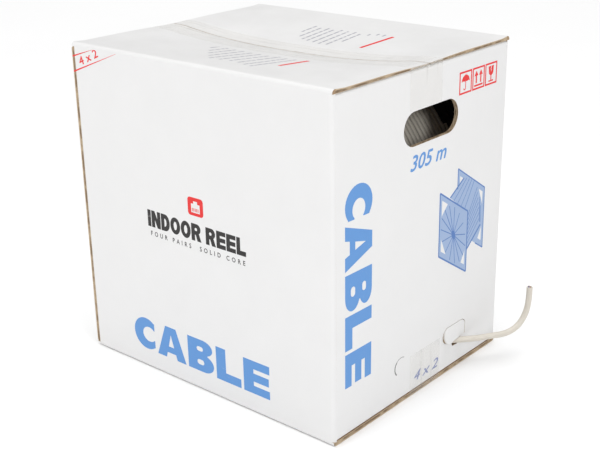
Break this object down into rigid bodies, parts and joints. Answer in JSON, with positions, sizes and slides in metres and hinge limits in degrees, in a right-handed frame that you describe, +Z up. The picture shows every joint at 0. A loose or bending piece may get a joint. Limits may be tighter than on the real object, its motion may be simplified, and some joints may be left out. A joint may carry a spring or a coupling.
{
  "type": "cable spool box",
  "caption": "Corrugated carton with a cable reel turning inside, hand holes in both ends, and a cable drawn out through a push-out slot near the floor.",
  "frame": {"origin": "floor under the middle of the carton", "axes": "+Z up, +X out of the end panel with the dispensing slot, -Y out of the front panel"},
  "size_m": [0.367, 0.271, 0.325],
  "materials": {
    "lined_board": "white clay-coated liner over brown kraft fluting",
    "clear_tape": "clear glossy packing tape",
    "moulded_plate": "matt black recycled polypropylene",
    "core_board": "spiral-wound kraft tube",
    "cable_jacket": "grey-beige PVC jacket, satin"
  },
  "bodies": {
    "carton": {"bottom_flap_front": "lined_board", "bottom_flap_left": "lined_board", "bottom_flap_rear": "lined_board", "bottom_flap_right": "lined_board", "cable_lead": "cable_jacket", "cable_tail": "cable_jacket", "end_plate_front": "moulded_plate", "end_plate_rear": "moulded_plate", "front_panel": "lined_board", "glue_tab": "lined_board", "hub_plug_front": "moulded_plate", "hub_plug_rear": "moulded_plate", "left_end_panel": "lined_board", "rear_panel": "lined_board", "right_end_panel": "lined_board", "tape_bottom": "clear_tape", "tape_top_tail_left": "clear_tape", "tape_top_tail_right": "clear_tape", "top_flap_left": "lined_board", "top_flap_right": "lined_board"},
    "drum": {"drum_core": "core_board", "drum_flange_front": "moulded_plate", "drum_flange_rear": "moulded_plate", "cable_winding": "cable_jacket"},
    "front_flap": {"top_flap_front": "lined_board", "tape_top_front": "clear_tape"},
    "rear_flap": {"top_flap_rear": "lined_board", "tape_top_rear": "clear_tape"},
    "slot_tab": {"exit_tab": "lined_board"}
  },
  "joints": [
    {"name": "drum_spin", "type": "hinge", "parent": "carton", "child": "drum", "pos_m": [0, 0, 0.159], "axis": [0, 1, 0], "continuous": true},
    {"name": "front_flap_fold", "type": "hinge", "parent": "carton", "child": "front_flap", "pos_m": [0, -0.1355, 0.325], "axis": [1, 0, 0], "range_deg": [0, 250]},
    {"name": "rear_flap_fold", "type": "hinge", "parent": "carton", "child": "rear_flap", "pos_m": [0, 0.1355, 0.325], "axis": [-1, 0, 0], "range_deg": [0, 250]},
    {"name": "exit_tab_fold", "type": "hinge", "parent": "carton", "child": "slot_tab", "pos_m": [0.1615, 0.076, 0.04075], "axis": [0, 0, 1], "range_deg": [-7, 80]}
  ]
}
